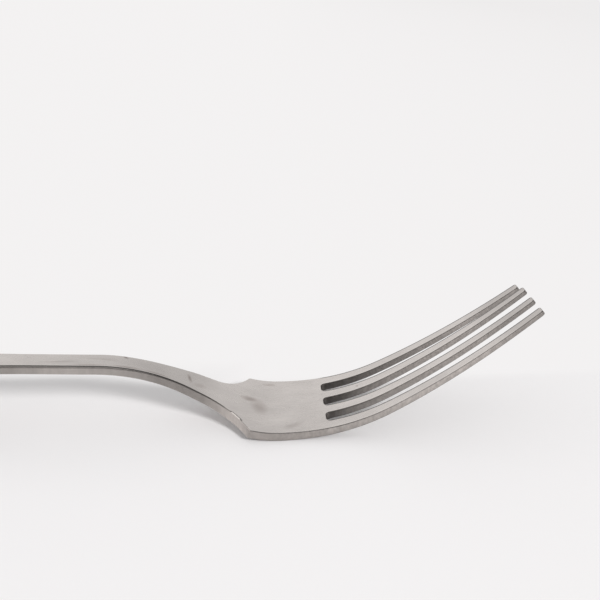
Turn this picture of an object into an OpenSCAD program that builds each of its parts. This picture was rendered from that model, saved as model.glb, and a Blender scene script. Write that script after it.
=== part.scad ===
// Dinner fork, blanked from one flat sheet of stainless steel, tapered, bent and ground.
// It is modelled as its regions: handle, neck, head and four tines, which meet face to face.
// X runs from the handle's end to the tips, Y goes across, Z is up from the table.
// The origin is on the table under the middle of the fork, which stands as it lies at rest.
// Every region is a stack of plan outlines, drawn in towards the two faces to round the edges,
// and each outline point is then carried onto the bent middle surface.

/* [Lengths along the table] */
// Handle, from its rounded end to the start of the neck
handle_l = 96.4; // [85:0.2:115]
// Neck, from the handle to the shoulders
neck_l = 36; // [30:0.2:44]
// Palm, from the shoulders to the ends of the slots
palm_l = 18.8; // [16:0.2:24]
// Tines, from the ends of the slots to the tips
tine_l = 48.8; // [40:0.2:54]

/* [Widths] */
// Widest place of the handle, near its end
grip_w = 20; // [14:0.2:24]
// Narrowest place, where the handle meets the neck
waist_w = 6.9; // [5.4:0.1:8.4]
// Neck where the shoulders start to flare out
flare_w = 8.6; // [7.5:0.1:10]
// Head across the shoulders
head_w = 25.8; // [22:0.2:28]
// Head across the tips
tips_w = 21; // [18:0.2:24]
// One tine where it leaves the palm
tine_w = 3.6; // [3:0.1:4.2]
// One tine at its tip
tip_w = 2.3; // [1.4:0.1:2.8]

/* [Thickness] */
// Sheet at the handle and neck
sheet_t = 2.35; // [1.8:0.05:3]
// Sheet at the heel, where the palm rests on the table
palm_t = 2.2; // [1.6:0.05:2.6]
// Sheet at the tips
tip_t = 1.2; // [0.9:0.05:1.5]
// Rounding along the edges of the handle
handle_edge_r = 0.65; // [0.3:0.05:0.75]
// Rounding along the upper edges of the head
head_edge_r = 0.2; // [0.1:0.05:0.4]
// Rounding along the under edges of the head
under_edge_r = 0.4; // [0.1:0.05:0.5]

/* [Handle outline] */
// Length of the round end, from the widest place
grip_end_l = 11; // [8:0.2:14]
// Slender stretch of even width in front of the grip
slim_l = 16.4; // [8:0.2:24]

/* [Shoulders and slots] */
// Length of the flare behind the shoulders
flare_l = 14; // [11:0.2:17]
// Angle of the outline where the flare begins, in degrees
flare_start_a = 12; // [4:0.5:14]
// Angle of the outline where the flare meets the shoulder, in degrees
shoulder_a = 61; // [50:1:70]
// Rounding of the shoulder corners
shoulder_r = 0.6; // [0.3:0.05:1.2]
// Rounding of the corners at the end of each slot
slot_r = 1.1; // [0.6:0.05:1.3]
// Rounding of the corners of each blunt tip, seen from above
tip_r = 0.45; // [0.2:0.05:0.6]
// Angle by which each side of the head leans in at the shoulders, in degrees
lean_start_a = 0.6; // [0:0.1:2]
// Angle by which each side of the head leans in at the tips, in degrees
lean_tip_a = 2.3; // [1:0.1:4]

/* [Side curve, heights to the middle of the sheet] */
// From the handle's end to the place where it rests
rest_l = 8; // [5:0.2:14]
// Lift of the handle's end above its resting place
end_lift = 0.3; // [0:0.05:1]
// From the start of the neck back to the top of the handle's arch
arch_l = 36.3; // [25:0.1:45]
// Height of the handle's arch
arch_h = 16; // [12:0.1:22]
// Height of the start of the neck
neck_h = 14.9; // [11:0.1:20]
// Fall of the start of the neck, in degrees
neck_a = 2; // [0:0.5:6]
// From the shoulders back to the steepest place of the neck
steep_l = 8.1; // [5:0.1:11]
// Height of the steepest place of the neck
steep_h = 5.8; // [4.5:0.1:8]
// Fall of the steepest place of the neck, in degrees
steep_a = 30.5; // [22:0.5:36]
// From the shoulders forward to the heel, the lowest place of the palm
heel_l = 7.6; // [4:0.1:10]
// From the ends of the slots forward to the knee of the tines
knee_l = 14.7; // [10:0.1:20]
// Height of the knee of the tines
knee_h = 6.95; // [5:0.05:10]
// Rise of the knee of the tines, in degrees
knee_a = 27.7; // [18:0.1:34]
// Height of the tips
tip_h = 30.3; // [22:0.1:36]
// Rise of the tips, in degrees
tip_a = 40; // [28:0.5:45]

/* [Wear] */
// Depth of the flats worn where the heel and the handle rest
rest_wear = 0.05; // [0.02:0.01:0.1]
// Sideways bend of the outer tine on the +Y side, at its tip
bend_side = 0.7; // [0:0.1:1]
// Downward bend of the same tine, at its tip
bend_down = 1.4; // [0:0.1:2]

/* [Hidden] */

steel = [0.72, 0.71, 0.69];

// Places along X, from the handle's end to the tips
x_end = -(handle_l + neck_l + palm_l + tine_l) / 2;
x_neck = x_end + handle_l;
x_shoulder = x_neck + neck_l;
x_root = x_shoulder + palm_l;
x_tip = x_root + tine_l;
x_grip = x_end + grip_end_l;
x_slim = x_neck - slim_l;
x_flare = x_shoulder - flare_l;
x_join = x_root + slot_r;
x_rest = x_end + rest_l;
x_heel = x_shoulder + heel_l;

// The tines, counted from the +Y side
tine_count = 4;
gap_count = tine_count - 1;

// How finely curves are drawn
end_steps = 12;
grip_steps = 26;
slim_steps = 5;
neck_steps = 14;
flare_steps = 14;
corner_steps = 4;
palm_steps = 9;
slot_steps = 5;
tine_steps = 26;
edge_steps = 3;

// Share of the sheet's thickness that an edge rounding may take
edge_share = 0.3;
// Angle from the middle of the round end to its first outline point
end_start_a = 5;

// Length of the box that trims the worn flats
trim_over = 1;

// A cubic from one [x, value, slope] station to the next, and its slope
function cubic(p, q, x) =
    let (l = q[0] - p[0], u = (x - p[0]) / l, w = 1 - u)
    (1 + 2 * u) * w * w * p[1] + u * w * w * l * p[2]
    + u * u * (1 + 2 * w) * q[1] - u * u * w * l * q[2];
function cubic_slope(p, q, x) =
    let (l = q[0] - p[0], u = (x - p[0]) / l, w = 1 - u)
    6 * u * w * (q[1] - p[1]) / l + w * (w - 2 * u) * p[2] + u * (u - 2 * w) * q[2];

// The station before x in a list of stations
function span(list, x, i = 0) =
    i >= len(list) - 2 || x < list[i + 1][0] ? i : span(list, x, i + 1);
function along(list, x) = let (i = span(list, x)) cubic(list[i], list[i + 1], x);
function slope_along(list, x) = let (i = span(list, x)) cubic_slope(list[i], list[i + 1], x);

// Thickness of the sheet
function sheet(x) =
    x < x_flare ? sheet_t
    : x < x_heel ? sheet_t + (palm_t - sheet_t) * (x - x_flare) / (x_heel - x_flare)
    : palm_t + (tip_t - palm_t) * (x - x_heel) / (x_tip - x_heel);

// Rounding of the edges of a face: face is -1 under the middle of the sheet and 1 over it
function edge_share_at(x) = min(1, max(0, (x - x_neck) / neck_l));
function edge_r(x, face) =
    let (
        head_r = face > 0 ? head_edge_r : under_edge_r,
        r = handle_edge_r + (head_r - handle_edge_r) * edge_share_at(x)
    )
    min(r, edge_share * sheet(x));

// The side curve: [x, height of the middle of the sheet, slope]
SIDE = [
    [x_end, sheet(x_end) / 2 - rest_wear + end_lift, -end_lift / rest_l],
    [x_rest, sheet(x_rest) / 2 - rest_wear, 0],
    [x_neck - arch_l, arch_h, 0],
    [x_neck, neck_h, -tan(neck_a)],
    [x_shoulder - steep_l, steep_h, -tan(steep_a)],
    [x_heel, sheet(x_heel) / 2 - rest_wear, 0],
    [x_root + knee_l, knee_h, tan(knee_a)],
    [x_tip, tip_h, tan(tip_a)]
];

// Carries plan point (x, y) at height v over the middle of the sheet onto the bent sheet.
// A bend of [sideways, down] grows from nothing at the tine's start to its full size at the tip.
function place(x, y, v, bend) =
    let (
        q = max(0, (x - x_join) / (x_tip - x_join)),
        a = atan(slope_along(SIDE, x) - 2 * bend[1] * q / (x_tip - x_join))
    )
    [x - sin(a) * v, y + bend[0] * q * q, along(SIDE, x) - bend[1] * q * q + cos(a) * v];

// Outline points are [x, y, outward normal x, outward normal y]
function edge_point(x, y, slope) =
    let (n = sqrt(1 + slope * slope))
    [x, y, -slope / n, 1 / n];
// The same where two regions meet, so that both end on one plane
function joint_point(x, y, slope) = [x, y, 0, sqrt(1 + slope * slope)];
function mirrored(points) = [for (p = points) [p[0], -p[1], p[2], -p[3]]];
function reversed(points) = [for (i = [len(points) - 1:-1:0]) points[i]];

// One layer of a region: a runs from 0 on the side wall to 90 on the flat face
function layer(loop, face, a, bend) = [
    for (p = loop)
    let (r = edge_r(p[0], face), d = r * (1 - cos(a)), v = sheet(p[0]) / 2 - r * (1 - sin(a)))
    place(p[0] - p[2] * d, p[1] - p[3] * d, face * v, bend)
];

// A closed solid from an outline loop, counterclockwise from above, and the triangles of its faces
module region(loop, faces, bend = [0, 0]) {
    n = len(loop);
    step_a = 90 / edge_steps;
    layers = concat(
        [for (i = [edge_steps:-1:0]) layer(loop, -1, i * step_a, bend)],
        [for (i = [0:edge_steps]) layer(loop, 1, i * step_a, bend)]
    );
    top = (len(layers) - 1) * n;
    walls = [
        for (j = [0:len(layers) - 2], i = [0:n - 1])
        let (a = j * n + i, b = j * n + (i + 1) % n)
        each [[a, a + n, b + n], [a, b + n, b]]
    ];
    under = [for (f = faces) [f[0], f[1], f[2]]];
    over = [for (f = faces) [f[2] + top, f[1] + top, f[0] + top]];
    polyhedron([for (l = layers) each l], concat(walls, under, over));
}

// Triangles between two paired runs of points, a counting up and b counting down
function strip(a, b, steps) = [
    for (i = [0:steps - 1])
    each [[a + i, a + i + 1, b - i - 1], [a + i, b - i - 1, b - i]]
];

// A region with one run of points on each side
module strip_region(right, left, bend = [0, 0]) {
    n = len(right);
    region(concat(right, reversed(left)), strip(0, 2 * n - 1, n - 1), bend);
}

// Even steps from a to b, both included
function steps_between(a, b, steps) = [for (i = [0:steps]) a + (b - a) * i / steps];

// Cuts off what lies under the table, which leaves the worn flat at a resting place
module worn(x_from, x_to, width) {
    difference() {
        children();
        translate([x_from, -width / 2 - trim_over, -trim_over])
            cube([x_to - x_from, width + 2 * trim_over, trim_over]);
    }
}

// Handle: a round end, a grip that tapers in, and a slender stretch up to the neck
GRIP_START = [x_grip, grip_w / 2, 0];
GRIP_END = [x_slim, waist_w / 2, 0];
handle_side = concat(
    [
        for (a = steps_between(end_start_a, 90, end_steps))
        let (nx = -cos(a) / grip_end_l, ny = sin(a) / (grip_w / 2), n = norm([nx, ny]))
        [x_grip - grip_end_l * cos(a), grip_w / 2 * sin(a), nx / n, ny / n]
    ],
    [
        for (i = [1:grip_steps])
        let (x = x_grip + (x_slim - x_grip) * i / grip_steps)
        edge_point(x, cubic(GRIP_START, GRIP_END, x), cubic_slope(GRIP_START, GRIP_END, x))
    ],
    [
        for (i = [1:slim_steps])
        edge_point(x_slim + slim_l * i / slim_steps, waist_w / 2, 0)
    ]
);
module handle() {
    color(steel)
        worn(x_end - trim_over, x_rest + rest_l, grip_w)
            strip_region(mirrored(handle_side), handle_side);
}

// Neck: from the waist to the start of the flare
NECK_START = [x_neck, waist_w / 2, 0];
FLARE_START = [x_flare, flare_w / 2, tan(flare_start_a)];
neck_side = [
    for (i = [0:neck_steps])
    let (
        x = x_neck + (x_flare - x_neck) * i / neck_steps,
        y = cubic(NECK_START, FLARE_START, x),
        slope = cubic_slope(NECK_START, FLARE_START, x)
    )
    i == neck_steps ? joint_point(x, y, slope) : edge_point(x, y, slope)
];
module neck() {
    color(steel)
        strip_region(mirrored(neck_side), neck_side);
}

// Head: the flare, the shoulder corners, the palm, and the slot ends between four short stubs
shoulder_tangent = shoulder_r * tan(shoulder_a / 2);
FLARE_END = [
    x_shoulder - shoulder_tangent * cos(shoulder_a),
    head_w / 2 - shoulder_tangent * sin(shoulder_a),
    tan(shoulder_a)
];
SIDE_START = [x_shoulder + shoulder_tangent, head_w / 2, -tan(lean_start_a)];
SIDE_END = [x_tip, tips_w / 2, -tan(lean_tip_a)];
// The last full row of the palm lies this far behind the ends of the slots
row_back = 2 * under_edge_r;

palm_side = concat(
    [
        for (i = [0:flare_steps - 1])
        let (
            x = x_flare + (FLARE_END[0] - x_flare) * i / flare_steps,
            y = cubic(FLARE_START, FLARE_END, x),
            slope = cubic_slope(FLARE_START, FLARE_END, x)
        )
        i == 0 ? joint_point(x, y, slope) : edge_point(x, y, slope)
    ],
    [
        for (a = steps_between(shoulder_a, 0, corner_steps))
        [SIDE_START[0] - shoulder_r * sin(a), head_w / 2 - shoulder_r * (1 - cos(a)), -sin(a), cos(a)]
    ],
    [
        for (i = [1:palm_steps])
        let (x = SIDE_START[0] + (x_root - row_back - SIDE_START[0]) * i / palm_steps)
        edge_point(x, cubic(SIDE_START, SIDE_END, x), cubic_slope(SIDE_START, SIDE_END, x))
    ]
);

// Tine edges: lane 0 is the outer tine on the -Y side, and side is -1 or 1
function outer_y(x) = cubic(SIDE_START, SIDE_END, x);
function width_of_tine(x) = tine_w + (tip_w - tine_w) * (x - x_root) / tine_l;
function lane_y(lane, x) =
    let (pitch = (2 * outer_y(x) - width_of_tine(x)) / gap_count)
    (lane - gap_count / 2) * pitch;
function tine_y(lane, side, x) = lane_y(lane, x) + side * width_of_tine(x) / 2;
function is_outer(lane, side) = side < 0 ? lane == 0 : lane == gap_count;

// One edge of a stub: a quarter circle that turns from the slot's end into the tine's edge
function stub_edge(lane, side) = [
    for (a = steps_between(0, 90, slot_steps))
    let (x = x_join - slot_r * cos(a), y = tine_y(lane, side, x))
    is_outer(lane, side)
        ? [x, y, 0, side]
        : [x, y + side * slot_r * (1 - sin(a)), cos(a), side * sin(a)]
];
stub_loop = [
    for (lane = [0:gap_count])
    each concat(stub_edge(lane, -1), reversed(stub_edge(lane, 1)))
];

module head() {
    rows = len(palm_side);
    last = rows - 1;
    stub_n = 2 * (slot_steps + 1);
    loop = concat(mirrored(palm_side), stub_loop, reversed(palm_side));
    far = rows + len(stub_loop);
    // Points of the slot ends, from the -Y side to the +Y side
    root = [for (lane = [0:gap_count]) each [rows + lane * stub_n, rows + (lane + 1) * stub_n - 1]];
    half = tine_count;
    faces = concat(
        strip(0, len(loop) - 1, last),
        [for (i = [0:half - 2]) [last, root[i], root[i + 1]]],
        [[last, root[half - 1], far]],
        [for (i = [half - 1:len(root) - 2]) [far, root[i], root[i + 1]]],
        [for (lane = [0:gap_count]) each strip(root[2 * lane], root[2 * lane + 1], slot_steps)]
    );
    color(steel)
        worn(x_shoulder, x_root, head_w)
            region(loop, faces);
}

// A tine: from its stub to a blunt tip with rounded corners
function tine_edge(lane, side) = concat(
    [
        for (i = [0:tine_steps])
        let (x = x_join + (x_tip - tip_r - x_join) * i / tine_steps)
        [x, tine_y(lane, side, x), 0, side]
    ],
    [
        for (a = steps_between(0, 90, corner_steps))
        if (a > 0)
        let (x = x_tip - tip_r * (1 - sin(a)))
        [x, tine_y(lane, side, x) - side * tip_r * (1 - cos(a)), sin(a), side * cos(a)]
    ]
);
module tine(number, bend = [0, 0]) {
    lane = tine_count - number;
    color(steel)
        strip_region(tine_edge(lane, -1), tine_edge(lane, 1), bend);
}

module tine_1() {
    tine(1, [-bend_side, bend_down]);
}
module tine_2() {
    tine(2);
}
module tine_3() {
    tine(3);
}
module tine_4() {
    tine(4);
}

handle();
neck();
head();
tine_1();
tine_2();
tine_3();
tine_4();
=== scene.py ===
import math

import bpy
import numpy as np
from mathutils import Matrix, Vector


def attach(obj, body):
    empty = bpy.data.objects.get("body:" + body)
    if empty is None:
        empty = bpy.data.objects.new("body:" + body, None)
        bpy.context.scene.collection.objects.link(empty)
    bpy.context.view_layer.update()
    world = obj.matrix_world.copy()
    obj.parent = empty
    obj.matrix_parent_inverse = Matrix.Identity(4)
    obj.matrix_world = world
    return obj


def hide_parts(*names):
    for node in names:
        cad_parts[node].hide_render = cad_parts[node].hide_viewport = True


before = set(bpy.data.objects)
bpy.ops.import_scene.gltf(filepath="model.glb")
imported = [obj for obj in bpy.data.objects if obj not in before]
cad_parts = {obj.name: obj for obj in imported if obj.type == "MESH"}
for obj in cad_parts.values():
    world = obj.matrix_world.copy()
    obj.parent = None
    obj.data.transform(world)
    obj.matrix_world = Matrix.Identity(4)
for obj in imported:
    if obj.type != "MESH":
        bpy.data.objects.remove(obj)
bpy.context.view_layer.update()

# The fork's driving sizes, the same as the solids have. Lengths are in metres, angles in degrees.
MM = 0.001

HANDLE_L = 96.4 * MM
NECK_L = 36 * MM
PALM_L = 18.8 * MM
TINE_L = 48.8 * MM

GRIP_W = 20 * MM
WAIST_W = 6.9 * MM
FLARE_W = 8.6 * MM
HEAD_W = 25.8 * MM
TIPS_W = 21 * MM
TINE_W = 3.6 * MM
TIP_W = 2.3 * MM

SHEET_T = 2.35 * MM
PALM_T = 2.2 * MM
TIP_T = 1.2 * MM
HANDLE_EDGE_R = 0.65 * MM
HEAD_EDGE_R = 0.2 * MM
UNDER_EDGE_R = 0.4 * MM
EDGE_SHARE = 0.3

GRIP_END_L = 11 * MM
SLIM_L = 16.4 * MM

FLARE_L = 14 * MM
FLARE_START_A = 12
SHOULDER_A = 61
SHOULDER_R = 0.6 * MM
SLOT_R = 1.1 * MM
TIP_R = 0.45 * MM
LEAN_START_A = 0.6
LEAN_TIP_A = 2.3

REST_L = 8 * MM
END_LIFT = 0.3 * MM
ARCH_L = 36.3 * MM
ARCH_H = 16 * MM
NECK_H = 14.9 * MM
NECK_A = 2
STEEP_L = 8.1 * MM
STEEP_H = 5.8 * MM
STEEP_A = 30.5
HEEL_L = 7.6 * MM
KNEE_L = 14.7 * MM
KNEE_H = 6.95 * MM
KNEE_A = 27.7
TIP_H = 30.3 * MM
TIP_A = 40
REST_WEAR = 0.05 * MM
BEND_SIDE = 0.7 * MM
BEND_DOWN = 1.4 * MM

TINES = 4

# How finely the surfaces are drawn
END_STEPS = 40
GRIP_STEPS = 90
SLIM_STEPS = 24
NECK_STEPS = 50
FLARE_STEPS = 56
CORNER_STEPS = 10
PALM_STEPS = 40
SLOT_STEPS = 14
TINE_STEPS = 110
EDGE_STEPS = 8
END_START_A = 5

# Width of the strip of the upper face that runs along its edge
RIM_W = 0.4 * MM

# Places along X
X_END = -(HANDLE_L + NECK_L + PALM_L + TINE_L) / 2
X_NECK = X_END + HANDLE_L
X_SHOULDER = X_NECK + NECK_L
X_ROOT = X_SHOULDER + PALM_L
X_TIP = X_ROOT + TINE_L
X_GRIP = X_END + GRIP_END_L
X_SLIM = X_NECK - SLIM_L
X_FLARE = X_SHOULDER - FLARE_L
X_JOIN = X_ROOT + SLOT_R
X_REST = X_END + REST_L
X_HEEL = X_SHOULDER + HEEL_L

# Colours
FACE_STEEL = (0.620, 0.588, 0.562, 1)
WALL_STEEL = (0.43, 0.40, 0.378, 1)
SMUDGE = (0.60, 0.51, 0.465, 1)
PALE = (0.90, 0.885, 0.885, 1)
TABLE = (0.885, 0.87, 0.873, 1)
WHITE = (1, 1, 1, 1)

# Stops of ramps, as (value, level). The wall value is 0 on the faces and 1 on the walls.
SIDE_STOPS = [(0.35, 0), (0.75, 1)]
EDGE_STOPS = [(0.02, 0), (0.2, 1), (0.85, 1), (0.98, 0)]
UPPER_STOPS = [(0.3, 0), (0.5, 1)]
SCRATCH_STOPS = [(0.66, 0), (0.7, 1)]
NICK_STOPS = [(0.68, 0), (0.72, 1)]
PATCHY_STOPS = [(0.2, 0.7), (0.7, 1)]

# Marks on the upper face: middle x and y, half length and half width in mm, turn in degrees, depth
MARKS = [
    (35.0, -1.0, 2.4, 4.4, 10, 0.5),
    (32.9, 1.8, 2.8, 1.5, -5, 0.8),
    (37.8, 10.6, 2.4, 0.9, 0, 0.5),
    (18.4, 0.4, 0.55, 2.2, 12, 0.9),
    (20.9, -1.2, 2.0, 1.2, 30, 0.4),
    (3.2, 2.4, 0.9, 0.5, -30, 1.2),
    (59.7, 3.4, 0.45, 0.4, 0, 1.0),
    (-12.0, -0.9, 6.0, 0.5, 4, 0.35),
    (-4.5, -2.3, 5.0, 0.35, 0, 0.6),
    (4.0, -2.3, 5.0, 0.4, 0, 0.8),
    (11.0, -2.4, 4.0, 0.4, -3, 0.8),
    (-2.0, 0.6, 5.0, 0.6, -6, 0.35),
    (43.0, -9.5, 3.0, 1.2, 25, 0.3),
]
# Where a mark starts and where it is in full, from its middle, as a share of its half sizes
MARK_EDGE = (1.0, 0.25)

# Grain of the steel: cycles per metre along X, Y and Z, detail, turn about Z in degrees
CLOUD = ((90, 160, 90), 4, 0)
BRUSHING = ((110, 2600, 1600), 3, 0)
SHEAR = ((700, 700, 220), 3, 0)
PITS = ((1500, 1500, 1000), 2, 0)
SCRATCHES = ((260, 5200, 260), 1, 24)
NICKS = ((420, 4300, 420), 1, -52)

# The value at which a kind of grain takes nothing away
CLOUD_MIDDLE = 0.42
SHEAR_MIDDLE = 0.45
NOISE_MIDDLE = 0.5

# How much of the mirrored light each kind of wear takes away
CLOUD_LOSS = 0.24
BRUSHING_LOSS = 0.05
MARK_LOSS = 0.3
LINE_LOSS = 0.08
SHEAR_LOSS = 0.3
PIT_LOSS = 0.15
HEAD_PIT_LOSS = 0.55
FACE_PIT_SHARE = 0.2
MARK_TINT = 0.6

# How much of the light the steel keeps along the fork, a painted sheen that sets how bright its
# reflection is at each place: x in mm and the share
SHEEN_ALONG = [(-24, 0.95), (-9, 0.9), (-1.2, 0.82), (12, 0.77), (19.2, 0.83), (25.8, 1)]
# How much brighter its walls are along the fork, a painted sheen of the lit table they mirror: x in mm
# and the gain
WALL_SHEEN_GAINS = [
    (-21.68, 0), (-14.64, 0.25), (-8.24, 0.32), (3.92, 0.26), (10.96, 0),
    (21.84, 0), (25.04, 0.25), (28.304, 0.55), (30.8, 0.4), (32.4, 0),
]

# Painted highlights and sheen (gains) and painted shade (losses) at single places, as shares of the
# light, and the most that gains can bring it to
OUTER_TINE_SHEEN_GAIN = 0.15
HEAD_WALL_SHEEN_GAIN = 0.07
SLOT_SHADE_GAIN = -0.38
FAR_RIM_SHADE_GAIN = -0.75
NEAR_RIM_HIGHLIGHT_GAIN = 0.14
FLARE_EDGE_HIGHLIGHT_GAIN = 2.0
BURNISH_HIGHLIGHT_GAIN = 1.5
BRIGHTEST = 1.6
EDGE_SHADE_LINE_GAIN = -0.35
UNDER_EDGE_SHADE_GAIN = -0.4
TIP_SHADE_GAIN = -0.18
FAR_TINE_SHADE_GAIN = -0.28

# Where places along X start, are in full, are still in full and end
OUTER_TINE_SHEEN_SPAN = (X_ROOT + 12 * MM, X_ROOT + 18 * MM, X_TIP - 18 * MM, X_TIP - 7 * MM)
FAR_TINE_SHADE_SPAN = (X_ROOT + 4 * MM, X_ROOT + 12 * MM, X_ROOT + 22 * MM, X_ROOT + 36 * MM)
SLOT_SHADE_SPAN = (X_ROOT - 4 * MM, X_ROOT - 3 * MM, X_ROOT + 2 * MM, X_ROOT + 22 * MM)
FLARE_HIGHLIGHT_SPAN = (26.5 * MM, 28 * MM, X_SHOULDER + 0.2 * MM, X_SHOULDER + 1.2 * MM)
BURNISH_HIGHLIGHT_SPAN = (28 * MM, 28.4 * MM, 30.2 * MM, 30.8 * MM)
NECK_SHADE_LINE_SPAN = (9 * MM, 12 * MM, 26.8 * MM, 28 * MM)
# Where places that run on to the tips start and are in full, along X
TINED_START = (X_ROOT - 1 * MM, X_ROOT + 1 * MM)
UNDER_EDGE_SHADE_START = (X_SHOULDER - 2 * MM, X_SHOULDER)
TIP_SHADE_START = (X_TIP - 13 * MM, X_TIP - 6 * MM)
# The same across Y. Inner is measured from the middle of the fork.
INNER_START = (9.9 * MM, 9.7 * MM)
FAR_TINE_SHADE_START = (7 * MM, 7.4 * MM)
FLARE_HIGHLIGHT_START = (-1 * MM, -2 * MM)
# How far a normal points across (Y) or up (Z) where places start and where they are in full
FAR_RIM_SHADE_ACROSS = (0.1, 0.6)
NEAR_RIM_HIGHLIGHT_ACROSS = (-0.1, -0.9)
EDGE_SHADE_LINE_ACROSS = (-0.1, -0.4)
EDGE_SHADE_LINE_UP = (-0.2, 0.1)
UNDER_EDGE_SHADE_UP = (-0.15, -0.5)

# Roughness of the steel, and what each kind of wear adds to it
STEEL_ROUGH = 0.17
CLOUD_ROUGH = 0.14
BRUSHING_ROUGH = 0.06
MARK_ROUGH = 0.15
EDGE_ROUGH = -0.1
WALL_ROUGH = 0.2

# Relief of the steel
BRUSHING_RELIEF = 0.7
LINE_RELIEF = -0.6
SHEAR_RELIEF = 1.5
RELIEF_STRENGTH = 0.16
RELIEF_H = 0.02 * MM

# The burnished bevel in the near edge of the flare: how far its normals lean, and its share along X
BURNISH_A = 66
BURNISH_X = [27.4 * MM, 28 * MM, 29.8 * MM, 30.4 * MM]
BURNISH_SHARE = [0, 1, 1, 0]

# The table: half its size, and where it starts to fade and has faded into the backdrop, away from
# the middle, behind the fork and close behind its head. To the right the backdrop gets darker.
FLOOR_HALF = 6.0
FADE_AWAY = (0.08, 0.3)
FADE_BEHIND = (21 * MM, 30 * MM)
FADE_BEHIND_HEAD = (14 * MM, 19 * MM)
FADE_HEAD_START = (22 * MM, 34 * MM)
DARKER_RIGHT = (0.05, 0.8)
DARKER_RIGHT_GAIN = -0.05

# The dome that lights the table: its level, and what that gains overhead and behind
DOME_LEVEL = 0.71
DOME_HIGH_GAIN = -0.4
DOME_BACK_GAIN = 0.15

# The studio that the steel mirrors: its level by height, from 0 at the horizon to 1 overhead, by
# depth, from 0 on the camera's side to 1 behind, and by side, from 0 on the left to 1 on the right
MIRROR_LEVEL = 1.1
MIRROR_UP = [(0, 1), (0.3, 1), (0.5, 1), (0.62, 0.8), (0.8, 0.16), (1, 0.13)]
MIRROR_BACK = [(0.35, 0.32), (0.6, 1)]
MIRROR_RIGHT = [(0.25, 1), (0.52, 1), (0.65, 0.86)]
# A pale card overhead, an oval in the direction, and a round window on the left, with the angles from
# its middle at which it starts and is in full
CARD_AT = (0.04, -0.43, 0.88)
CARD_HALF = (0.27, 0.3, 1)
CARD_EDGE = (1.1, 0.7)
CARD_LEVEL = 0.8
WINDOW_TO = Vector((-0.78, -0.25, 0.57)).normalized()
WINDOW_EDGE_A = (40, 25)
WINDOW_LEVEL = 1.0

# Lamps: name, direction from the fork, distance, width, height, share of a full white's light
LAMPS = [
    ("key", (1.0, -1.28, 1.0), 3.0, 0.6, 0.6, 0.38),
    ("side", (-2.6, 0.0, 1.0), 2.0, 2.4, 0.4, 0.13),
]

# The camera, at the photo's angle, with its sensor and lens in mm
CAMERA_AT = (34.9 * MM, -173.1 * MM, 102.2 * MM)
CAMERA_DOWN_A = 22.5
CAMERA_TURN_A = -3.4
CAMERA_SENSOR = 36
CAMERA_LENS = 48
CAMERA_NEAR = 0.01


def tan_d(a):
    return math.tan(math.radians(a))


def sin_d(a):
    return math.sin(math.radians(a))


def cos_d(a):
    return math.cos(math.radians(a))


def cubic(p, q, x):
    """Height and slope at x of the cubic between two [x, height, slope] stations."""
    length = q[0] - p[0]
    u = (x - p[0]) / length
    w = 1 - u
    height = ((1 + 2 * u) * w * w * p[1] + u * w * w * length * p[2]
              + u * u * (1 + 2 * w) * q[1] - u * u * w * length * q[2])
    slope = 6 * u * w * (q[1] - p[1]) / length + w * (w - 2 * u) * p[2] + u * (u - 2 * w) * q[2]
    return height, slope


def sheet(x):
    """Thickness of the sheet."""
    return float(np.interp(x, [X_FLARE, X_HEEL, X_TIP], [SHEET_T, PALM_T, TIP_T]))


def edge_r(x, face):
    """Rounding of the edges of the upper face (1) and of the under face (-1)."""
    head_r = HEAD_EDGE_R if face > 0 else UNDER_EDGE_R
    r = np.interp(x, [X_NECK, X_SHOULDER], [HANDLE_EDGE_R, head_r])
    return min(float(r), EDGE_SHARE * sheet(x))


# Stations of the middle of the sheet, seen from the side: x, height, slope
SIDE = [
    (X_END, sheet(X_END) / 2 - REST_WEAR + END_LIFT, -END_LIFT / REST_L),
    (X_REST, sheet(X_REST) / 2 - REST_WEAR, 0),
    (X_NECK - ARCH_L, ARCH_H, 0),
    (X_NECK, NECK_H, -tan_d(NECK_A)),
    (X_SHOULDER - STEEP_L, STEEP_H, -tan_d(STEEP_A)),
    (X_HEEL, sheet(X_HEEL) / 2 - REST_WEAR, 0),
    (X_ROOT + KNEE_L, KNEE_H, tan_d(KNEE_A)),
    (X_TIP, TIP_H, tan_d(TIP_A)),
]

# Stations of the outline, seen from above: x, half width, slope
GRIP_START = (X_GRIP, GRIP_W / 2, 0)
GRIP_END = (X_SLIM, WAIST_W / 2, 0)
NECK_START = (X_NECK, WAIST_W / 2, 0)
FLARE_START = (X_FLARE, FLARE_W / 2, tan_d(FLARE_START_A))
SHOULDER_TANGENT = SHOULDER_R * tan_d(SHOULDER_A / 2)
FLARE_END = (
    X_SHOULDER - SHOULDER_TANGENT * cos_d(SHOULDER_A),
    HEAD_W / 2 - SHOULDER_TANGENT * sin_d(SHOULDER_A),
    tan_d(SHOULDER_A),
)
SIDE_START = (X_SHOULDER + SHOULDER_TANGENT, HEAD_W / 2, -tan_d(LEAN_START_A))
SIDE_END = (X_TIP, TIPS_W / 2, -tan_d(LEAN_TIP_A))
ROW_BACK = 2 * UNDER_EDGE_R + RIM_W


def side_at(x):
    """Height and slope of the middle of the sheet."""
    for p, q in zip(SIDE[:-2], SIDE[1:-1]):
        if x < q[0]:
            return cubic(p, q, x)
    return cubic(SIDE[-2], SIDE[-1], x)


def on_sheet(x, y, v, n, bend):
    """A plan point at height v over the middle of the sheet, and its normal, on the bent sheet.

    n is the normal before bending: along the fork, across it, and square to the sheet."""
    q = max(0, (x - X_JOIN) / (X_TIP - X_JOIN))
    z, slope = side_at(x)
    a = math.atan(slope - 2 * bend[1] * q / (X_TIP - X_JOIN))
    point = (x - math.sin(a) * v, y + bend[0] * q * q, z - bend[1] * q * q + math.cos(a) * v)
    normal = (n[0] * math.cos(a) - n[2] * math.sin(a), n[1], n[0] * math.sin(a) + n[2] * math.cos(a))
    return (point[0], point[1], max(0, point[2])), normal


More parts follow.
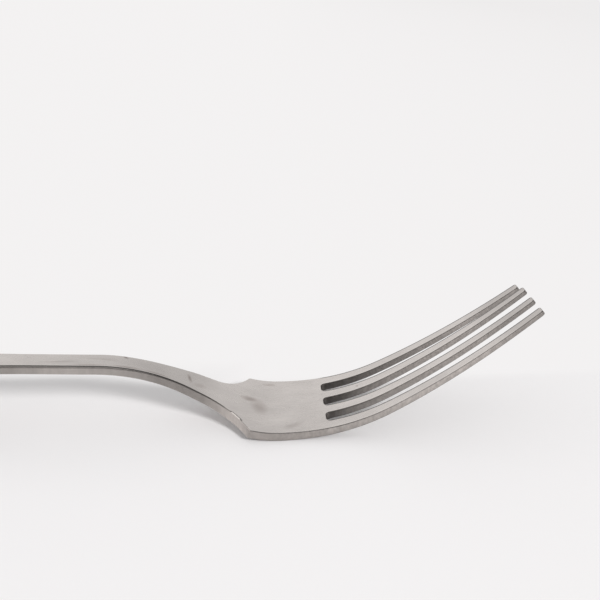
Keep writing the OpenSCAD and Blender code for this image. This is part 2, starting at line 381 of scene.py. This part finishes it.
# Outline points are (x, y, normal x, normal y, mitre). The mitre is the way that a unit of rounding
# moves the point where two regions meet on one plane. Elsewhere it is None, and the normal is used.
def edge_point(x, y, slope):
    n = math.hypot(slope, 1)
    return (x, y, -slope / n, 1 / n, None)


def joint_point(x, y, slope):
    n = math.hypot(slope, 1)
    return (x, y, -slope / n, 1 / n, (0, n))


def mirrored(points):
    return [(x, -y, nx, -ny, m and (m[0], -m[1])) for x, y, nx, ny, m in points]


def steps_between(a, b, steps):
    return [a + (b - a) * i / steps for i in range(steps + 1)]


def strip(a, b, steps):
    """Quads between two paired runs of points, a counting up and b counting down."""
    return [(a + i, a + i + 1, b - i - 1, b - i) for i in range(steps)]


def burnished(x, y):
    """Share of the burnished bevel in the near edge of the flare. It tilts normals, not the surface."""
    if y > 0:
        return 0
    return float(np.interp(x, BURNISH_X, BURNISH_SHARE))


def add_float(mesh, name, values):
    mesh.attributes.new(name, "FLOAT", "POINT").data.foreach_set("value", values)


def make_region(name, loop, faces, joints, bend=(0, 0)):
    """A closed mesh from a counterclockwise outline loop and the faces of its plan.

    joints holds the loop's edges that meet another region: their walls keep flat normals.
    For the shader, wall is 0 on the faces and 1 on the walls, and rim is the outline's normal
    across the fork, held only along the edge of the upper face."""
    angles = steps_between(0, 90, EDGE_STEPS)
    layers = [(-1, a, 0) for a in reversed(angles)] + [(1, a, 0) for a in angles] + [(1, 90, 1)]
    points, normals, wall, rim = [], [], [], []
    for face, a, inner in layers:
        for x, y, nx, ny, mitre in loop:
            r = edge_r(x, face)
            d = r * (1 - cos_d(a)) + inner * RIM_W
            v = sheet(x) / 2 - r * (1 - sin_d(a))
            mx, my = mitre or (nx, ny)
            lean = a
            if face > 0 and not inner:
                lean = min(a, 90 - BURNISH_A * burnished(x, y))
            flat_normal = (nx * cos_d(lean), ny * cos_d(lean), face * sin_d(lean))
            point, normal = on_sheet(x - mx * d, y - my * d, face * v, flat_normal, bend)
            points.append(point)
            normals.append(normal)
            wall.append(cos_d(a))
            rim.append(0 if inner or face < 0 else ny)
    count = len(loop)
    top = (len(layers) - 1) * count
    polygons = []
    for j in range(len(layers) - 1):
        for i in range(count):
            k = (i + 1) % count
            low, high = j * count, (j + 1) * count
            polygons.append((low + i, low + k, high + k, high + i))
    wall_count = len(polygons)
    polygons += [tuple(reversed(f)) for f in faces]
    polygons += [tuple(top + i for i in f) for f in faces]

    mesh = bpy.data.meshes.new(name)
    mesh.from_pydata(points, [], polygons)
    mesh.update()
    flat = set(joints)
    corner_normals = []
    for index, polygon in enumerate(mesh.polygons):
        polygon.use_smooth = True
        joint = index < wall_count and index % count in flat
        for vertex in polygon.vertices:
            corner_normals.append(tuple(polygon.normal) if joint else normals[vertex])
    mesh.normals_split_custom_set(corner_normals)
    add_float(mesh, "wall", wall)
    add_float(mesh, "rim", rim)
    piece = bpy.data.objects.new(name, mesh)
    bpy.context.scene.collection.objects.link(piece)
    return piece


def strip_region(name, right, left, joints, bend=(0, 0)):
    """A region between two edges. Its joints are at its back or front end, or both."""
    n = len(right)
    loop = right + left[::-1]
    ends = {"back": 2 * n - 1, "front": n - 1}
    return make_region(name, loop, strip(0, 2 * n - 1, n - 1), [ends[j] for j in joints], bend)


def make_handle():
    """The round end, the grip that tapers in and the slender stretch."""
    side = []
    for a in steps_between(END_START_A, 90, END_STEPS):
        nx, ny = -cos_d(a) / GRIP_END_L, sin_d(a) / (GRIP_W / 2)
        n = math.hypot(nx, ny)
        side.append((X_GRIP - GRIP_END_L * cos_d(a), GRIP_W / 2 * sin_d(a), nx / n, ny / n, None))
    for x in steps_between(X_GRIP, X_SLIM, GRIP_STEPS)[1:]:
        side.append(edge_point(x, *cubic(GRIP_START, GRIP_END, x)))
    for x in steps_between(X_SLIM, X_NECK, SLIM_STEPS)[1:]:
        side.append(edge_point(x, WAIST_W / 2, 0))
    return strip_region("handle_steel", mirrored(side), side, ["front"])


def make_neck():
    """From the waist to the start of the flare."""
    side = []
    for x in steps_between(X_NECK, X_FLARE, NECK_STEPS):
        point = joint_point if x == X_FLARE else edge_point
        side.append(point(x, *cubic(NECK_START, FLARE_START, x)))
    return strip_region("neck_steel", mirrored(side), side, ["back", "front"])


def outer_y(x):
    """Half the width across the palm and the tines."""
    return cubic(SIDE_START, SIDE_END, x)[0]


def width_of_tine(x):
    return TINE_W + (TIP_W - TINE_W) * (x - X_ROOT) / TINE_L


def tine_y(lane, side, x):
    """Edge of a tine. Lane 0 is the outer tine on the -Y side, and side is -1 or 1."""
    gaps = TINES - 1
    pitch = (2 * outer_y(x) - width_of_tine(x)) / gaps
    return (lane - gaps / 2) * pitch + side * width_of_tine(x) / 2


def stub_edge(lane, side):
    """The part of a tine's edge that rounds the end of the slot, or runs straight outside."""
    points = []
    outer = lane == (0 if side < 0 else TINES - 1)
    for a in steps_between(0, 90, SLOT_STEPS):
        x = X_JOIN - SLOT_R * cos_d(a)
        y = tine_y(lane, side, x)
        if outer:
            points.append((x, y, 0, side, None))
        else:
            points.append((x, y + side * SLOT_R * (1 - sin_d(a)), cos_d(a), side * sin_d(a), None))
    return points


def make_head():
    """The flare, the squared shoulders, the palm and the ends of the slots."""
    side = [joint_point(*FLARE_START)]
    for x in steps_between(X_FLARE, FLARE_END[0], FLARE_STEPS)[1:-1]:
        side.append(edge_point(x, *cubic(FLARE_START, FLARE_END, x)))
    for a in steps_between(SHOULDER_A, 0, CORNER_STEPS):
        x = SIDE_START[0] - SHOULDER_R * sin_d(a)
        side.append((x, HEAD_W / 2 - SHOULDER_R * (1 - cos_d(a)), -sin_d(a), cos_d(a), None))
    for x in steps_between(SIDE_START[0], X_ROOT - ROW_BACK, PALM_STEPS)[1:]:
        side.append(edge_point(x, *cubic(SIDE_START, SIDE_END, x)))
    rows = len(side)
    last = rows - 1
    stubs = []
    for lane in range(TINES):
        stubs += stub_edge(lane, -1) + stub_edge(lane, 1)[::-1]
    loop = mirrored(side) + stubs + side[::-1]
    far = rows + len(stubs)
    stub_n = 2 * (SLOT_STEPS + 1)
    root = []
    for lane in range(TINES):
        root += [rows + lane * stub_n, rows + (lane + 1) * stub_n - 1]
    # rows across the palm, a fan from each end of the last row, then the starts of the tines
    faces = strip(0, len(loop) - 1, last)
    faces += [(last, root[i], root[i + 1]) for i in range(TINES - 1)]
    faces += [(last, root[TINES - 1], far)]
    faces += [(far, root[i], root[i + 1]) for i in range(TINES - 1, 2 * TINES - 1)]
    for lane in range(TINES):
        faces += strip(root[2 * lane], root[2 * lane + 1], SLOT_STEPS)
    joints = [len(loop) - 1] + [root[2 * lane] + SLOT_STEPS for lane in range(TINES)]
    return make_region("head_steel", loop, faces, joints)


def tine_edge(lane, side):
    """One edge of a tine, with the rounded corner at its tip."""
    points = [(x, tine_y(lane, side, x), 0, side, None)
              for x in steps_between(X_JOIN, X_TIP - TIP_R, TINE_STEPS)]
    for a in steps_between(0, 90, CORNER_STEPS)[1:]:
        x = X_TIP - TIP_R * (1 - sin_d(a))
        y = tine_y(lane, side, x) - side * TIP_R * (1 - cos_d(a))
        points.append((x, y, sin_d(a), side * cos_d(a), None))
    return points


def make_tine(number):
    """Tine 1 is on the +Y side, and is bent a little by use."""
    lane = TINES - number
    bend = (-BEND_SIDE, BEND_DOWN) if number == 1 else (0, 0)
    return strip_region(f"tine_{number}_steel", tine_edge(lane, -1), tine_edge(lane, 1), ["back"], bend)


class Graph:
    """A short way to write a shader's nodes. Values are sockets or plain numbers."""

    def __init__(self, tree):
        self.tree = tree

    def put(self, socket, value):
        if isinstance(value, bpy.types.NodeSocket):
            self.tree.links.new(value, socket)
        else:
            socket.default_value = value

    def node(self, kind, *values, **settings):
        node = self.tree.nodes.new(kind)
        for name, value in settings.items():
            setattr(node, name, value)
        for socket, value in zip(node.inputs, values):
            self.put(socket, value)
        return node

    def math(self, operation, *values):
        return self.node("ShaderNodeMath", *values, operation=operation).outputs["Value"]

    def times(self, *values):
        """The product of two or more values."""
        product = values[0]
        for value in values[1:]:
            product = self.math("MULTIPLY", product, value)
        return product

    def plus(self, base, value, share):
        """base with a share of value added."""
        return self.math("ADD", base, self.math("MULTIPLY", value, share))

    def gained(self, kept, region, gain):
        """kept with a gain, or a loss below 0, where region is 1."""
        return self.math("MULTIPLY", kept, self.math("MULTIPLY_ADD", region, gain, 1))

    def ramp(self, value, *stops):
        """A value mapped through (place, level) stops."""
        node = self.node("ShaderNodeValToRGB", value)
        elements = node.color_ramp.elements
        while len(elements) < len(stops):
            elements.new(0.5)
        for element, (at, level) in zip(elements, stops):
            element.position = at
            element.color = (level, level, level, 1)
        return node.outputs["Color"]

    def span(self, value, start, end):
        """0 at start and before, 1 at end and past it."""
        return self.node("ShaderNodeMapRange", value, start, end, 0.0, 1.0).outputs["Result"]

    def between(self, value, start, full, full_end, end):
        """1 from full to full_end, falling to 0 at start and at end."""
        return self.times(self.span(value, start, full), self.span(value, end, full_end))

    def along(self, x, stops):
        """A level that changes along the fork through (x in mm, level) stops."""
        start, end = stops[0][0], stops[-1][0]
        places = [((at - start) / (end - start), level) for at, level in stops]
        return self.ramp(self.span(x, start * MM, end * MM), *places)

    def blend(self, share, a, b):
        node = self.tree.nodes.new("ShaderNodeMix")
        node.data_type = "RGBA"
        self.put(node.inputs["Factor"], share)
        for name, value in (("A", a), ("B", b)):
            for socket in node.inputs:
                if socket.name == name and socket.type == "RGBA":
                    self.put(socket, value)
        return [socket for socket in node.outputs if socket.type == "RGBA"][0]

    def unit_share(self, value):
        """A value from -1 to 1 as a share from 0 to 1."""
        return self.math("MULTIPLY_ADD", value, 0.5, 0.5)

    def axes(self, vector):
        return self.node("ShaderNodeSeparateXYZ", vector).outputs

    def length(self, vector):
        return self.node("ShaderNodeVectorMath", vector, operation="LENGTH").outputs["Value"]

    def attribute(self, name):
        return self.node("ShaderNodeAttribute", attribute_name=name).outputs["Fac"]

    def noise(self, where, kind):
        """Noise with so many cycles per metre along each axis, turned about Z by degrees."""
        scale, detail, turn = kind
        turned = self.node("ShaderNodeMapping", where)
        turned.inputs["Rotation"].default_value = (0, 0, math.radians(turn))
        scaled = self.node("ShaderNodeMapping", turned.outputs["Vector"])
        scaled.inputs["Scale"].default_value = scale
        node = self.node("ShaderNodeTexNoise", scaled.outputs["Vector"])
        node.inputs["Scale"].default_value = 1
        node.inputs["Detail"].default_value = detail
        return node.outputs["Fac"]

    def off_oval(self, where, middle, half, turn=0):
        """The way from an oval's middle, in its half sizes, so that its outline is 1 away."""
        mapping = self.node("ShaderNodeMapping", where, vector_type="TEXTURE")
        mapping.inputs["Location"].default_value = middle
        mapping.inputs["Rotation"].default_value = (0, 0, math.radians(turn))
        mapping.inputs["Scale"].default_value = half
        return mapping.outputs["Vector"]


class Surface:
    """What the steel's shader reads at a point: where it is, how it faces and its part of the sheet."""

    def __init__(self, graph):
        self.where = graph.node("ShaderNodeTexCoord").outputs["Object"]
        place = graph.axes(self.where)
        self.x = place["X"]
        self.y = place["Y"]
        normal = graph.axes(graph.node("ShaderNodeNewGeometry").outputs["Normal"])
        self.across = normal["Y"]
        self.up = normal["Z"]
        self.wall = graph.attribute("wall")
        self.rim = graph.attribute("rim")
        self.side = graph.ramp(self.wall, *SIDE_STOPS)
        self.edge = graph.ramp(self.wall, *EDGE_STOPS)
        self.upper = graph.ramp(self.up, *UPPER_STOPS)


class Wear:
    """The grain of the steel at a point, and the marks and lines that use has left there."""

    def __init__(self, graph, at):
        self.cloud = graph.noise(at.where, CLOUD)
        self.brushing = graph.noise(at.where, BRUSHING)
        self.shear = graph.noise(at.where, SHEAR)
        self.pits = graph.noise(at.where, PITS)
        scratches = graph.ramp(graph.noise(at.where, SCRATCHES), *SCRATCH_STOPS)
        nicks = graph.ramp(graph.noise(at.where, NICKS), *NICK_STOPS)
        self.lines = graph.math("MAXIMUM", scratches, nicks)
        patchy = graph.ramp(self.cloud, *PATCHY_STOPS)
        self.marks = graph.times(deepest_mark(graph, at.where), patchy, at.upper)


def deepest_mark(graph, where):
    """The depth of the deepest of the marks: soft ovals, 1 in the middle and 0 outside."""
    deepest = 0
    for x, y, half_x, half_y, turn, depth in MARKS:
        away = graph.off_oval(where, (x * MM, y * MM, 0), (half_x * MM, half_y * MM, 1), turn)
        flat = graph.node("ShaderNodeVectorMath", away, (1, 1, 0), operation="MULTIPLY")
        spot = graph.span(graph.length(flat.outputs["Vector"]), *MARK_EDGE)
        deepest = graph.math("MAXIMUM", deepest, graph.times(spot, depth))
    return deepest


def lost_light(graph, at, wear):
    """The share of the mirrored light that wear takes away, on the faces and on the walls."""
    headed = graph.span(at.x, X_SHOULDER, X_ROOT)
    pit_loss = graph.math("MULTIPLY_ADD", headed, HEAD_PIT_LOSS, PIT_LOSS)
    pitted = graph.times(graph.math("SUBTRACT", wear.pits, NOISE_MIDDLE), pit_loss)
    face = graph.times(graph.math("SUBTRACT", wear.cloud, CLOUD_MIDDLE), CLOUD_LOSS)
    face = graph.plus(face, graph.math("SUBTRACT", wear.brushing, NOISE_MIDDLE), BRUSHING_LOSS)
    face = graph.plus(face, wear.marks, MARK_LOSS)
    face = graph.plus(face, wear.lines, LINE_LOSS)
    face = graph.plus(face, pitted, FACE_PIT_SHARE)
    wall = graph.plus(pitted, graph.math("SUBTRACT", wear.shear, SHEAR_MIDDLE), SHEAR_LOSS)
    face = graph.times(face, graph.math("SUBTRACT", 1, at.side))
    return graph.math("ADD", face, graph.times(wall, at.side))


def kept_light(graph, at, loss):
    """The share of the mirrored light that is kept, with the painted highlights, sheen and shade of
    single places.
    """
    tined = graph.span(at.x, *TINED_START)
    inner = graph.span(graph.math("ABSOLUTE", at.y), *INNER_START)
    # Painted sheen on the outer walls of the tines and of the head
    outer_wall = graph.times(graph.math("SUBTRACT", 1, inner), at.side)
    outer_tine_sheen = graph.times(outer_wall, graph.between(at.x, *OUTER_TINE_SHEEN_SPAN))
    head_wall_sheen = graph.times(outer_wall, graph.span(at.x, X_FLARE, X_SHOULDER))
    # Painted shade on the walls between the tines, near the ends of the slots
    slot = graph.times(inner, at.wall, graph.between(at.x, *SLOT_SHADE_SPAN))
    rim = graph.times(at.rim, tined)
    # Painted shade: a dark line along the far edge of the tines' upper face
    far_rim_shade = graph.span(rim, *FAR_RIM_SHADE_ACROSS)
    # Painted highlight along the near edge of the tines' upper face
    near_rim_highlight = graph.span(rim, *NEAR_RIM_HIGHLIGHT_ACROSS)
    # Painted sheen on the walls along the fork
    wall_sheen = graph.times(graph.along(at.x, WALL_SHEEN_GAINS), at.side)
    # Painted highlight along the near upper edge of the flare
    flare_highlight = graph.times(graph.between(at.x, *FLARE_HIGHLIGHT_SPAN), graph.span(at.y, *FLARE_HIGHLIGHT_START))
    flare_highlight = graph.times(flare_highlight, at.edge, at.upper)
    # Painted highlight, brighter still, on the burnished bevel of the flare
    bevel = graph.times(graph.between(at.x, *BURNISH_HIGHLIGHT_SPAN), flare_highlight)

    # Painted shade: a dark line along the near upper edge of the neck and of the tines
    near = graph.times(graph.span(at.across, *EDGE_SHADE_LINE_ACROSS), graph.span(at.up, *EDGE_SHADE_LINE_UP))
    lined = graph.math("MAXIMUM", graph.between(at.x, *NECK_SHADE_LINE_SPAN), tined)
    edge_line_shade = graph.times(near, at.edge, lined)
    # Painted shade on the downward-facing under edges of the head and the tines
    under_edge_shade = graph.times(graph.span(at.up, *UNDER_EDGE_SHADE_UP), graph.span(at.x, *UNDER_EDGE_SHADE_START))
    # Painted shade towards the tips of the tines
    tip = graph.span(at.x, *TIP_SHADE_START)
    # Painted shade on the walls of the far tine
    far_tine_shade = graph.times(graph.span(at.y, *FAR_TINE_SHADE_START), at.side)
    far_tine_shade = graph.times(far_tine_shade, graph.between(at.x, *FAR_TINE_SHADE_SPAN))

    # The painted sheen along the fork sets how bright the reflection is at each place
    kept = graph.times(graph.math("SUBTRACT", 1, loss), graph.along(at.x, SHEEN_ALONG))
    kept = graph.gained(kept, outer_tine_sheen, OUTER_TINE_SHEEN_GAIN)
    kept = graph.gained(kept, head_wall_sheen, HEAD_WALL_SHEEN_GAIN)
    kept = graph.gained(kept, slot, SLOT_SHADE_GAIN)
    kept = graph.gained(kept, far_rim_shade, FAR_RIM_SHADE_GAIN)
    kept = graph.gained(kept, near_rim_highlight, NEAR_RIM_HIGHLIGHT_GAIN)
    kept = graph.gained(kept, wall_sheen, 1)
    kept = graph.gained(kept, flare_highlight, FLARE_EDGE_HIGHLIGHT_GAIN)
    kept = graph.gained(kept, bevel, BURNISH_HIGHLIGHT_GAIN)
    kept = graph.math("MINIMUM", kept, BRIGHTEST)
    kept = graph.gained(kept, edge_line_shade, EDGE_SHADE_LINE_GAIN)
    kept = graph.gained(kept, under_edge_shade, UNDER_EDGE_SHADE_GAIN)
    kept = graph.gained(kept, tip, TIP_SHADE_GAIN)
    return graph.gained(kept, far_tine_shade, FAR_TINE_SHADE_GAIN)


def steel_colour(graph, at, wear):
    colour = graph.blend(at.side, FACE_STEEL, WALL_STEEL)
    colour = graph.blend(graph.times(wear.marks, MARK_TINT), colour, SMUDGE)
    scaled = graph.node("ShaderNodeVectorMath", colour, operation="SCALE")
    # The kept light scales the colour, so the painted highlights, sheen and shade go into it
    graph.put(scaled.inputs["Scale"], kept_light(graph, at, lost_light(graph, at, wear)))
    return scaled.outputs["Vector"]


def steel_roughness(graph, at, wear):
    rough = graph.plus(STEEL_ROUGH, wear.cloud, CLOUD_ROUGH)
    rough = graph.plus(rough, wear.brushing, BRUSHING_ROUGH)
    rough = graph.plus(rough, wear.marks, MARK_ROUGH)
    rough = graph.plus(rough, at.edge, EDGE_ROUGH)
    return graph.plus(rough, at.side, WALL_ROUGH)


def steel_relief(graph, at, wear):
    height = graph.times(wear.brushing, BRUSHING_RELIEF)
    height = graph.plus(height, wear.lines, LINE_RELIEF)
    height = graph.plus(height, graph.times(wear.shear, at.side), SHEAR_RELIEF)
    bump = graph.node("ShaderNodeBump")
    bump.inputs["Strength"].default_value = RELIEF_STRENGTH
    bump.inputs["Distance"].default_value = RELIEF_H
    graph.put(bump.inputs["Height"], height)
    return bump.outputs["Normal"]


def steel_material():
    """Satin steel: brushed along the fork, scratched and smudged by use, sheared at its walls, with
    painted highlights, sheen and shade at single places.
    """
    material = bpy.data.materials.new("satin_steel")
    material.use_nodes = True
    graph = Graph(material.node_tree)
    shader = material.node_tree.nodes["Principled BSDF"]
    at = Surface(graph)
    wear = Wear(graph, at)
    shader.inputs["Metallic"].default_value = 1
    graph.put(shader.inputs["Base Color"], steel_colour(graph, at, wear))
    graph.put(shader.inputs["Roughness"], steel_roughness(graph, at, wear))
    graph.put(shader.inputs["Normal"], steel_relief(graph, at, wear))
    return material


def shown_share(graph):
    """1 for rays that show the background: the camera's, and those the steel mirrors."""
    path = graph.node("ShaderNodeLightPath").outputs
    seen = graph.math("MAXIMUM", path["Is Camera Ray"], path["Is Glossy Ray"])
    return graph.math("MAXIMUM", seen, path["Is Transmission Ray"])


def add_floor():
    """A pale table that keeps the fork's shadow and fades into the backdrop's plain colour."""
    mesh = bpy.data.meshes.new("floor")
    corners = [(-1, -1), (1, -1), (1, 1), (-1, 1)]
    points = [(x * FLOOR_HALF, y * FLOOR_HALF, 0) for x, y in corners]
    mesh.from_pydata(points, [], [(0, 1, 2, 3)])
    floor = bpy.data.objects.new("floor", mesh)
    bpy.context.scene.collection.objects.link(floor)
    material = bpy.data.materials.new("pale_table")
    material.use_nodes = True
    graph = Graph(material.node_tree)
    shader = material.node_tree.nodes["Principled BSDF"]
    shader.inputs["Base Color"].default_value = TABLE
    shader.inputs["Roughness"].default_value = 1
    shader.inputs["Specular IOR Level"].default_value = 0

    where = graph.node("ShaderNodeTexCoord").outputs["Object"]
    place = graph.axes(where)
    far = graph.span(graph.length(where), *FADE_AWAY)
    far = graph.math("MAXIMUM", far, graph.span(place["Y"], *FADE_BEHIND))
    beside_head = graph.span(place["X"], *FADE_HEAD_START)
    behind_head = graph.times(graph.span(place["Y"], *FADE_BEHIND_HEAD), beside_head)
    far = graph.math("MAXIMUM", far, behind_head)
    level = graph.math("MULTIPLY_ADD", graph.span(place["X"], *DARKER_RIGHT), DARKER_RIGHT_GAIN, 1)
    glow = graph.node("ShaderNodeEmission", PALE, level)
    share = graph.times(far, shown_share(graph))
    mix = graph.node("ShaderNodeMixShader", share, shader.outputs["BSDF"], glow.outputs["Emission"])
    output = material.node_tree.nodes["Material Output"]
    graph.put(output.inputs["Surface"], mix.outputs["Shader"])
    mesh.materials.append(material)


def add_world():
    """A plain dome that lights the table, and the studio that the camera and the steel see.

    The studio is palest low down, behind and on the left, and dark overhead and on the camera's
    side. A pale card hangs overhead and a window is on the left. The camera sees plain backdrop."""
    world = bpy.data.worlds.new("studio")
    bpy.context.scene.world = world
    world.use_nodes = True
    world.cycles.sampling_method = "NONE"
    graph = Graph(world.node_tree)
    direction = graph.node("ShaderNodeTexCoord").outputs["Generated"]
    axes = graph.axes(direction)
    dome = world.node_tree.nodes["Background"]
    dome.inputs["Color"].default_value = WHITE
    level = graph.math("MULTIPLY_ADD", axes["Z"], DOME_HIGH_GAIN * DOME_LEVEL, DOME_LEVEL)
    level = graph.math("MULTIPLY_ADD", axes["Y"], DOME_BACK_GAIN * DOME_LEVEL, level)
    graph.put(dome.inputs["Strength"], level)

    up = graph.ramp(axes["Z"], *MIRROR_UP)
    back = graph.ramp(graph.unit_share(axes["Y"]), *MIRROR_BACK)
    right = graph.ramp(graph.unit_share(axes["X"]), *MIRROR_RIGHT)
    shade = graph.times(up, back, graph.times(right, MIRROR_LEVEL))
    card = graph.length(graph.off_oval(direction, CARD_AT, CARD_HALF))
    card = graph.times(graph.span(card, *CARD_EDGE), CARD_LEVEL)
    window = graph.node("ShaderNodeVectorMath", direction, WINDOW_TO, operation="DOT_PRODUCT")
    window_edge = [cos_d(a) for a in WINDOW_EDGE_A]
    window = graph.times(graph.span(window.outputs["Value"], *window_edge), WINDOW_LEVEL)
    shade = graph.math("MAXIMUM", shade, graph.math("MAXIMUM", card, window))
    camera_ray = graph.node("ShaderNodeLightPath").outputs["Is Camera Ray"]
    shade = graph.blend(camera_ray, shade, WHITE)
    tint = graph.node("ShaderNodeVectorMath", shade, PALE[:3], operation="MULTIPLY")
    backdrop = graph.node("ShaderNodeBackground", tint.outputs["Vector"])
    mix = graph.node("ShaderNodeMixShader", shown_share(graph), dome.outputs["Background"],
                     backdrop.outputs["Background"])
    graph.put(world.node_tree.nodes["World Output"].inputs["Surface"], mix.outputs["Shader"])


def add_lamp(name, direction, distance, width, height, share):
    """A lamp that gives the table under it this share of a full white's light."""
    toward = Vector(direction).normalized()
    data = bpy.data.lights.new(name, "AREA")
    data.shape = "RECTANGLE"
    data.size = width
    data.size_y = height
    data.energy = share * math.pi * math.pi * distance * distance / toward.z
    lamp = bpy.data.objects.new(name, data)
    bpy.context.scene.collection.objects.link(lamp)
    lamp.location = toward * distance
    lamp.rotation_euler = toward.to_track_quat("Z", "Y").to_euler()
    lamp.visible_glossy = False


def add_camera():
    data = bpy.data.cameras.new("camera")
    data.sensor_width = CAMERA_SENSOR
    data.lens = CAMERA_LENS
    data.clip_start = CAMERA_NEAR
    camera = bpy.data.objects.new("camera", data)
    bpy.context.scene.collection.objects.link(camera)
    camera.location = CAMERA_AT
    camera.rotation_euler = (math.radians(90 - CAMERA_DOWN_A), 0, math.radians(CAMERA_TURN_A))
    bpy.context.scene.camera = camera


steel = steel_material()
regions = {"handle": make_handle(), "neck": make_neck(), "head": make_head()}
for number in range(1, TINES + 1):
    regions[f"tine_{number}"] = make_tine(number)
for node, piece in regions.items():
    piece.data.materials.append(steel)
    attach(piece, "root")
    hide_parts(node)

add_floor()
add_world()
for lamp in LAMPS:
    add_lamp(*lamp)
add_camera()
bpy.context.scene.view_settings.view_transform = "Standard"
